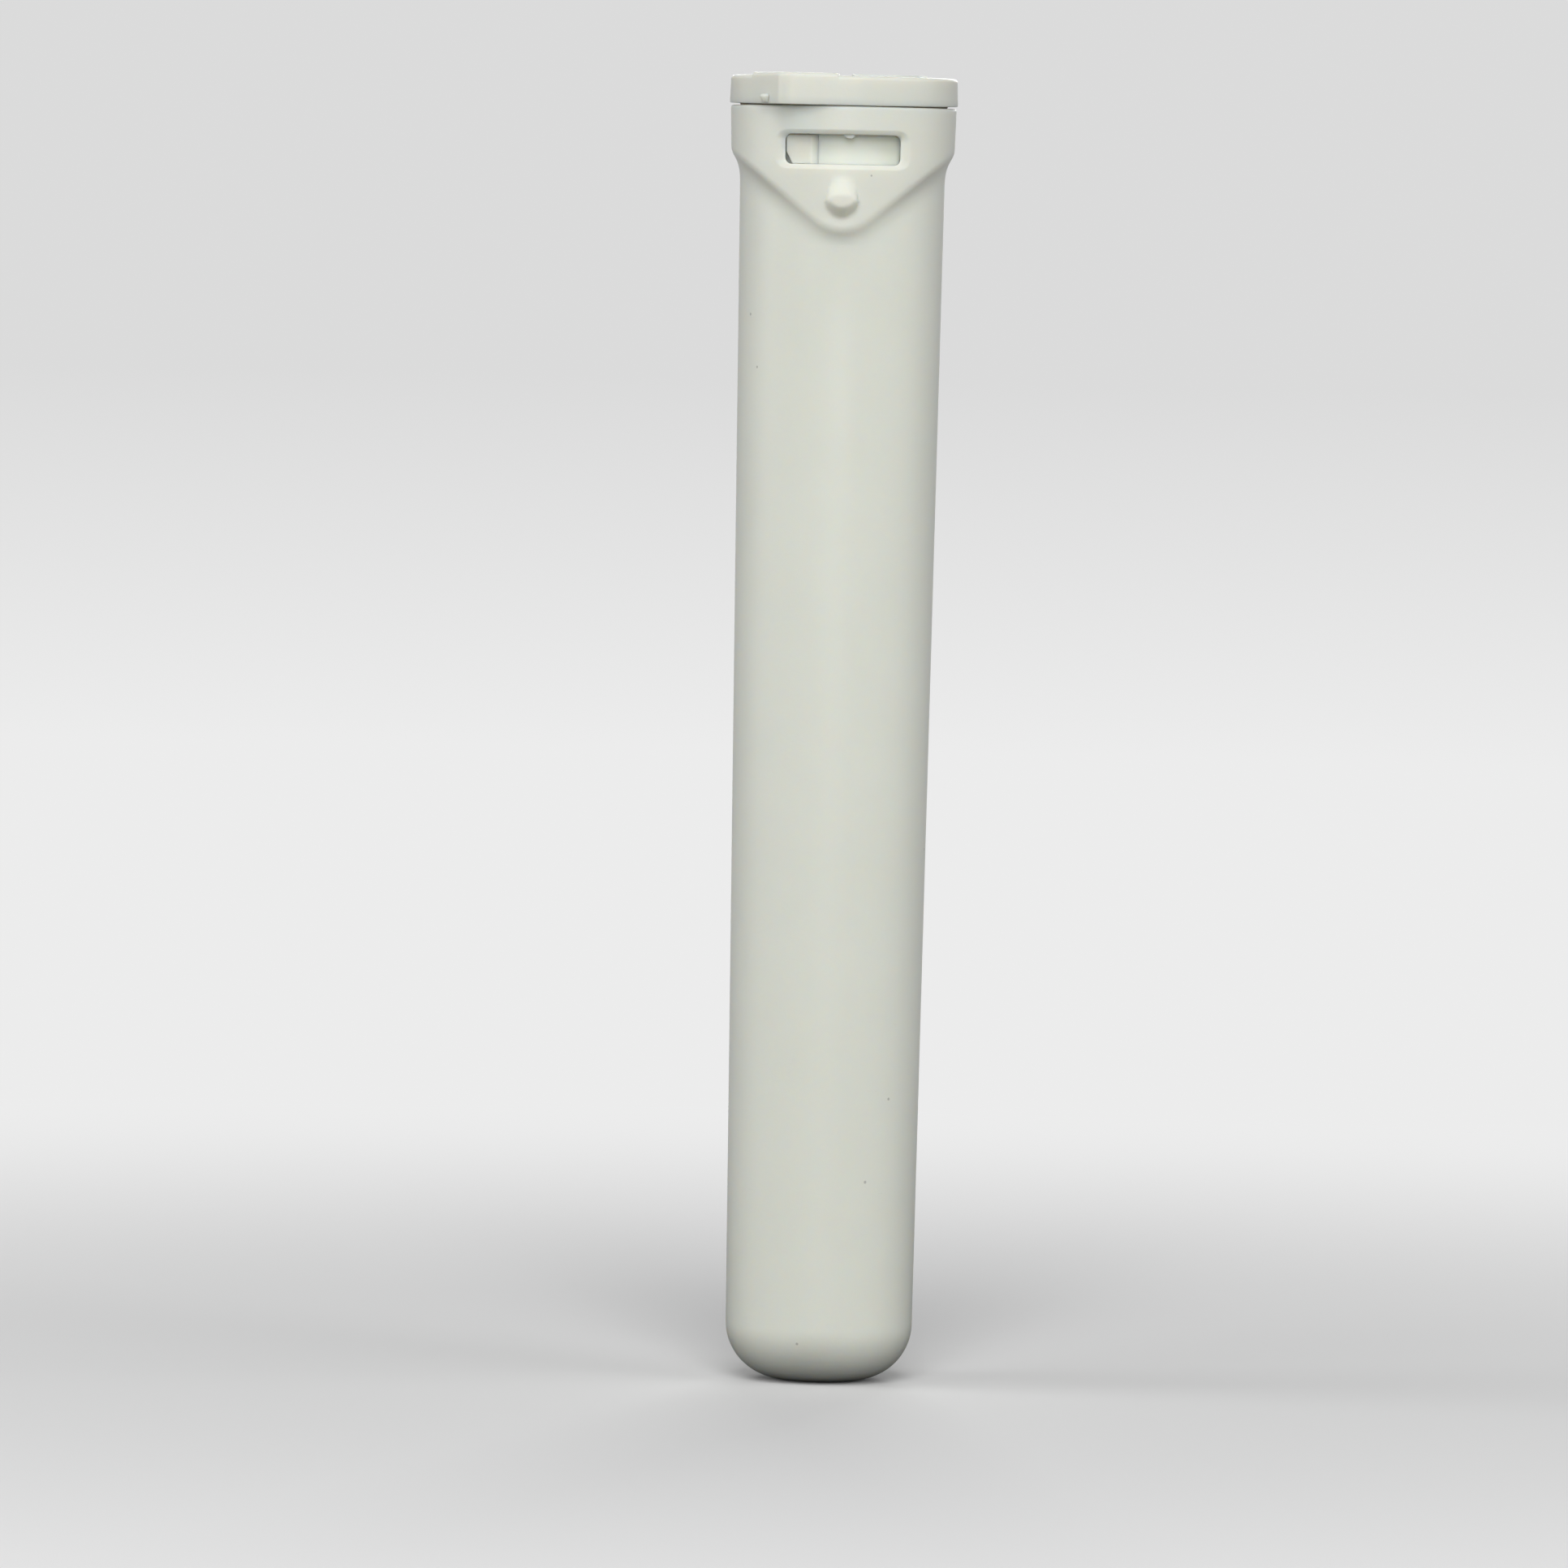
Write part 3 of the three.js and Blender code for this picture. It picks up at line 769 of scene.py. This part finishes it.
@dataclass(frozen=True)
class MouldedPlastic:
    """Off-white moulded plastic with a satin skin, soft mottle, specks and scuffs; below a given height it can
    be painted paler as painted light.
    """

    name: str
    color: tuple[float, float, float]
    dark: tuple[float, float, float]
    roughness: float = 0.45
    subsurface: float = 0.65
    scuffed: bool = False
    speck_spots: tuple[tuple[float, float, float, float], ...] = ()
    # Painted light: below this height, in metres, the colour is painted 1.12 times paler; 0 leaves it off.
    painted_light_below: float = 0.0

    def build(self) -> bpy.types.Material:
        """Makes the material and its nodes."""
        material, tree, shader, place = new_finish(self.name)
        mottle = self.group(tree, "mould_mottle", place)
        tone = tree.nodes.new("ShaderNodeMapRange")
        tree.links.new(mottle.outputs["Tone"], tone.inputs["Value"])
        tone.inputs["From Min"].default_value = 0.3
        tone.inputs["From Max"].default_value = 0.7
        base = self.mix(tree, tone.outputs["Result"], self.dark, self.color)
        # Painted light: below the height the colour turns 1.12 times paler, standing in for light that reaches
        # the shaded plug behind the window.
        if self.painted_light_below > 0.0:
            split = tree.nodes.new("ShaderNodeSeparateXYZ")
            tree.links.new(place, split.inputs["Vector"])
            low = Groups.math(tree, "LESS_THAN", split.outputs["Z"], self.painted_light_below)
            base = self.mix(tree, low, base, tuple(1.12 * c for c in self.color))
        mask = None
        for x, y, z, size in self.speck_spots:
            spot = self.spot(tree, place, (x, y, z), size)
            mask = Groups.math(tree, "MAXIMUM", mask, spot) if mask else spot
        if self.scuffed:
            scuffs = self.group(tree, "fine_scuffs", place)
            grey = tuple(0.86 * c for c in self.dark)
            share = Groups.math(tree, "MULTIPLY", scuffs.outputs["Mask"], 0.35)
            base = self.mix(tree, share, base, grey)
        if mask:
            base = self.mix(tree, Groups.math(tree, "MULTIPLY", mask, 0.45), base, (0.16, 0.15, 0.13))
        tree.links.new(base, shader.inputs["Base Color"])
        rough = tree.nodes.new("ShaderNodeMapRange")
        tree.links.new(mottle.outputs["Tone"], rough.inputs["Value"])
        rough.inputs["To Min"].default_value = self.roughness - 0.05
        rough.inputs["To Max"].default_value = self.roughness + 0.06
        tree.links.new(rough.outputs["Result"], shader.inputs["Roughness"])
        bump = tree.nodes.new("ShaderNodeBump")
        bump.inputs["Strength"].default_value = 0.08
        bump.inputs["Distance"].default_value = 0.0001
        tree.links.new(mottle.outputs["Height"], bump.inputs["Height"])
        tree.links.new(bump.outputs["Normal"], shader.inputs["Normal"])
        shader.inputs["IOR"].default_value = 1.46
        shader.inputs["Subsurface Weight"].default_value = self.subsurface
        shader.inputs["Subsurface Radius"].default_value = (1.0, 0.75, 0.5)
        shader.inputs["Subsurface Scale"].default_value = 0.0016
        shader.inputs["Specular IOR Level"].default_value = 0.32
        shader.inputs["Coat Weight"].default_value = 0.05
        shader.inputs["Coat Roughness"].default_value = 0.22
        return material

    @staticmethod
    def group(tree: bpy.types.NodeTree, name: str, place: bpy.types.NodeSocket) -> bpy.types.Node:
        """Places a shared group that reads object coordinates."""
        node = tree.nodes.new("ShaderNodeGroup")
        node.node_tree = bpy.data.node_groups[name]
        tree.links.new(place, node.inputs["Vector"])
        return node

    @staticmethod
    def mix(tree: bpy.types.NodeTree, share, first, second) -> bpy.types.NodeSocket:
        """Mixes two colours, each a socket or three numbers, by a share."""
        node = tree.nodes.new("ShaderNodeMix")
        node.data_type = "RGBA"
        tree.links.new(share, node.inputs["Factor"])
        for slot, value in (("A", first), ("B", second)):
            socket = [s for s in node.inputs if s.name == slot and s.type == "RGBA"][0]
            if isinstance(value, bpy.types.NodeSocket):
                tree.links.new(value, socket)
            else:
                socket.default_value = (*value, 1.0)
        return [s for s in node.outputs if s.type == "RGBA"][0]

    @staticmethod
    def spot(tree: bpy.types.NodeTree, place, centre, size: float) -> bpy.types.NodeSocket:
        """Mask of one small round spot, by its centre and radius in metres."""
        node = tree.nodes.new("ShaderNodeVectorMath")
        node.operation = "DISTANCE"
        tree.links.new(place, node.inputs[0])
        node.inputs[1].default_value = centre
        return Groups.math(tree, "LESS_THAN", node.outputs["Value"], size)


@dataclass(frozen=True)
class SoftFoam:
    """Fine closed-cell foam of the seal ring."""

    name: str = "seal_foam_finish"
    color: tuple[float, float, float] = (0.5, 0.42, 0.34)
    dark: tuple[float, float, float] = (0.36, 0.29, 0.22)

    def build(self) -> bpy.types.Material:
        """Makes the material and its nodes."""
        material, tree, shader, place = new_finish(self.name)
        cells = MouldedPlastic.group(tree, "mould_mottle", place)
        cells.inputs["Scale"].default_value = 3000.0
        base = MouldedPlastic.mix(tree, cells.outputs["Tone"], self.dark, self.color)
        tree.links.new(base, shader.inputs["Base Color"])
        bump = tree.nodes.new("ShaderNodeBump")
        bump.inputs["Strength"].default_value = 0.5
        bump.inputs["Distance"].default_value = 0.0001
        tree.links.new(cells.outputs["Tone"], bump.inputs["Height"])
        tree.links.new(bump.outputs["Normal"], shader.inputs["Normal"])
        shader.inputs["Roughness"].default_value = 0.85
        return material


@dataclass
class Studio:
    """Camera, lamps, floor and background."""

    distance: float = 1.0
    eye_height: float = 0.10374
    focal_pixels: float = 13881.9
    pitch: float = 2.9063
    yaw: float = 0.2335
    roll: float = 1.1771
    sensor: float = 36.0
    background: tuple[float, float, float] = (0.84, 0.84, 0.84)
    horizon: tuple[float, float, float] = (0.71, 0.71, 0.71)
    sky: float = 0.05
    lamps: tuple[tuple[str, tuple[float, float, float], float, float], ...] = (
        ("front_10", (0.0, -1.15, 0.26), 0.5, 5.65),
        ("front_30", (0.0, -1.0, 0.64), 0.5, 3.2),
        ("front_50", (0.0, -0.74, 0.94), 0.5, 3.7),
        ("right_20", (0.93, -0.54, 0.45), 0.5, 1.95),
        ("left_55", (-0.57, -0.33, 1.0), 0.5, 1.00),
        ("right_55", (0.57, -0.33, 1.0), 0.5, 0.17),
        ("side_left", (-1.1, -0.05, 0.3), 0.5, 4.0),
        ("side_right", (1.1, -0.05, 0.3), 0.5, 1.75),
        ("back", (0.1, 1.25, 0.46), 0.6, 8.0),
    )

    def camera(self) -> None:
        """Adds the camera, from its height, its angles and its focal length in photo pixels."""
        data = bpy.data.cameras.new("camera")
        data.sensor_width = self.sensor
        data.lens = self.sensor * self.focal_pixels / PHOTO_PIXELS
        data.clip_end = 50.0
        camera = bpy.data.objects.new("camera", data)
        bpy.context.scene.collection.objects.link(camera)
        pitch, yaw, roll = (math.radians(a) for a in (self.pitch, self.yaw, self.roll))
        level = Vector((-math.sin(yaw), math.cos(yaw), 0.0))
        right = Vector((math.cos(yaw), math.sin(yaw), 0.0))
        ahead = level * math.cos(pitch) - Vector((0, 0, math.sin(pitch)))
        up = level * math.sin(pitch) + Vector((0, 0, math.cos(pitch)))
        turned_right = right * math.cos(roll) + up * math.sin(roll)
        turned_up = up * math.cos(roll) - right * math.sin(roll)
        axes = Matrix((turned_right, turned_up, -ahead)).transposed().to_4x4()
        camera.matrix_world = Matrix.Translation((0.0, -self.distance, self.eye_height)) @ axes
        bpy.context.scene.camera = camera

    @staticmethod
    def lamp(name: str, place, aim, size: float, power: float) -> None:
        """Adds a square soft lamp, by its place, aim and side in metres and its power in watts."""
        data = bpy.data.lights.new(name, "AREA")
        data.shape = "SQUARE"
        data.size = size
        data.energy = power
        lamp = bpy.data.objects.new(name, data)
        bpy.context.scene.collection.objects.link(lamp)
        way = (Vector(aim) - Vector(place)).to_track_quat("-Z", "Y")
        lamp.matrix_world = Matrix.Translation(place) @ way.to_matrix().to_4x4()

    def lights(self) -> None:
        """Adds the soft lamps of the table: name, place, side in metres and power in watts."""
        for name, place, size, power in self.lamps:
            self.lamp(name, place, (0.0, 0.0, 0.06), size, power)

    @staticmethod
    def seen_color(tree: bpy.types.NodeTree) -> bpy.types.NodeSocket:
        """Mask of the rays that see the background: camera, glossy and transmission rays."""
        path = tree.nodes.new("ShaderNodeLightPath")
        mask = path.outputs["Is Camera Ray"]
        for label in ("Is Glossy Ray", "Is Transmission Ray"):
            mask = Groups.math(tree, "MAXIMUM", mask, path.outputs[label])
        return mask

    def world(self) -> None:
        """Lights the scene evenly, and shows a pale background."""
        world = bpy.data.worlds.new("studio")
        bpy.context.scene.world = world
        world.use_nodes = True
        tree = world.node_tree
        ground = tree.nodes["Background"]
        ground.inputs["Color"].default_value = (0.95, 0.97, 1.0, 1.0)
        ground.inputs["Strength"].default_value = self.sky
        seen = tree.nodes.new("ShaderNodeBackground")
        seen.inputs["Color"].default_value = (*self.horizon, 1.0)
        mix = tree.nodes.new("ShaderNodeMixShader")
        tree.links.new(self.seen_color(tree), mix.inputs["Fac"])
        tree.links.new(ground.outputs[0], mix.inputs[1])
        tree.links.new(seen.outputs[0], mix.inputs[2])
        tree.links.new(mix.outputs[0], tree.nodes["World Output"].inputs["Surface"])

    def floor(self) -> None:
        """Lays a plain pale floor under the tube."""
        size = 6.0
        mesh = bpy.data.meshes.new("floor")
        corners = [(-size, -size, 0), (size, -size, 0), (size, size, 0), (-size, size, 0)]
        mesh.from_pydata(corners, [], [(0, 1, 2, 3)])
        floor = bpy.data.objects.new("floor", mesh)
        bpy.context.scene.collection.objects.link(floor)
        material, tree, shader, place = new_finish("floor_finish")
        camera_ray = tree.nodes.new("ShaderNodeLightPath").outputs["Is Camera Ray"]
        color = MouldedPlastic.mix(tree, camera_ray, (0.03, 0.03, 0.03), (0.75, 0.75, 0.75))
        tree.links.new(color, shader.inputs["Base Color"])
        shader.inputs["Specular IOR Level"].default_value = 0.0
        away = tree.nodes.new("ShaderNodeVectorMath")
        away.operation = "LENGTH"
        tree.links.new(place, away.inputs[0])
        fade = tree.nodes.new("ShaderNodeMapRange")
        fade.interpolation_type = "SMOOTHSTEP"
        fade.inputs["From Min"].default_value = 0.02
        fade.inputs["From Max"].default_value = 0.3
        tree.links.new(away.outputs["Value"], fade.inputs["Value"])
        nearness = Groups.math(tree, "DIVIDE", 1.0, Groups.math(tree, "ADD", away.outputs["Value"], 1.0))
        depth = tree.nodes.new("ShaderNodeMapRange")
        depth.inputs["From Min"].default_value = 0.143
        depth.inputs["From Max"].default_value = 0.46
        tree.links.new(nearness, depth.inputs["Value"])
        seen = tree.nodes.new("ShaderNodeEmission")
        shade = MouldedPlastic.mix(tree, depth.outputs["Result"], self.horizon, self.background)
        tree.links.new(shade, seen.inputs["Color"])
        mix = tree.nodes.new("ShaderNodeMixShader")
        share = Groups.math(tree, "MULTIPLY", fade.outputs["Result"], self.seen_color(tree))
        tree.links.new(share, mix.inputs["Fac"])
        tree.links.new(shader.outputs[0], mix.inputs[1])
        tree.links.new(seen.outputs[0], mix.inputs[2])
        tree.links.new(mix.outputs[0], tree.nodes["Material Output"].inputs["Surface"])
        mesh.materials.append(material)


def dress(piece: bpy.types.Object, body: str, finish: bpy.types.Material) -> None:
    """Gives a piece its finish and its body, and reports it.

    Args:
        piece: the object.
        body: the CAD body that it rides on.
        finish: its material.
    """
    piece.data.materials.clear()
    piece.data.materials.append(finish)
    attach(piece, body)
    log.info("%s rides on %s with %d faces", piece.name, body, len(piece.data.polygons))


def lug_groove(sizes: TubeSizes, cap: Cap) -> Skin:
    """The groove that the lug comes down through, as a closed block to cut away."""
    start, end = cap.lug_from - 1.6, cap.lug_from + cap.lug_arc + 1.6
    angles = np.linspace(start, end, 16)
    low, high = sizes.window_middle, sizes.collar_top + 1.0
    inner, outer = 7.0, cap.lug_reach + 0.15
    loop = [(inner, low), (outer, low), (outer, high), (inner, high), (inner, low)]
    middle_radius, middle_z = (inner + outer) / 2, (low + high) / 2
    grid = np.stack([around(r, angles, z) for r, z in loop], axis=1)
    first = np.repeat(around(middle_radius, angles[:1], middle_z)[None], len(loop), axis=1)
    last = np.repeat(around(middle_radius, angles[-1:], middle_z)[None], len(loop), axis=1)
    skin = Skin()
    skin.add(np.concatenate([first, grid, last]), closed=False)
    return skin


def cut(piece: bpy.types.Object, tool: bpy.types.Object, sharp: float = 40.0) -> None:
    """Cuts a tool away from a piece's mesh, shades the mesh again and removes the tool.

    Args:
        piece: the object.
        tool: the block to cut away.
        sharp: edges that turn by more than this many degrees stay sharp.
    """
    modifier = piece.modifiers.new("cut", "BOOLEAN")
    modifier.operation = "DIFFERENCE"
    modifier.solver = "EXACT"
    modifier.object = tool
    bpy.context.view_layer.update()
    seen = piece.evaluated_get(bpy.context.evaluated_depsgraph_get())
    mesh = bpy.data.meshes.new_from_object(seen)
    piece.modifiers.clear()
    piece.data = mesh
    mesh.shade_smooth()
    mesh.set_sharp_from_angle(angle=math.radians(sharp))
    bpy.data.objects.remove(tool)


def main() -> None:
    """Builds the pieces, their finishes and the studio."""
    logging.basicConfig(level=logging.INFO, format="%(message)s")
    bpy.context.scene.view_settings.view_transform = "Standard"
    for group in (Groups.mottle, Groups.scuffs):
        group()
    sizes = TubeSizes()
    body, cap = TubeBody(sizes), Cap(sizes)
    spots = [around(radius, angle, z) * MM for radius, angle, z, _ in SPECKS]
    specks = tuple((*spot, size * MM) for spot, (*_, size) in zip(spots, SPECKS))
    tube_finish = MouldedPlastic("tube_plastic_finish", (0.731, 0.743, 0.669), (0.711, 0.723, 0.649),
                                 scuffed=True, speck_spots=specks).build()
    # The cap's plug, below the collar's top, is painted paler: painted light inside the window.
    cap_finish = MouldedPlastic("cap_plastic_finish", (0.688, 0.7, 0.631), (0.668, 0.68, 0.611),
                                painted_light_below=sizes.collar_top * MM).build()
    lug_finish = MouldedPlastic("lug_plastic_finish", (0.7, 0.7, 0.622), (0.685, 0.685, 0.607)).build()
    foam = SoftFoam().build()

    tube = body.skin().build("tube_shell")
    cut(tube, lug_groove(sizes, cap).build("groove_block"))
    dress(tube, "tube", tube_finish)
    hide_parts("tube_body")
    dress(body.bead().build("window_bead"), "tube", tube_finish)

    lid = cap.skin().build("cap_shell")
    dress(lid, "cap", cap_finish)
    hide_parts("cap")
    dress(cap.lug().build("cap_lug"), "cap", lug_finish)
    dress(cap.wedge().build("beak_wedge"), "cap", cap_finish)
    dress(cap.arrow(), "cap", cap_finish)

    ring = SealRing(sizes, cap).skin().build("seal_ring_soft")
    dress(ring, "seal", foam)
    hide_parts("seal_ring")

    studio = Studio()
    studio.camera()
    studio.lights()
    studio.world()
    studio.floor()


if __name__ == "__main__":
    main()
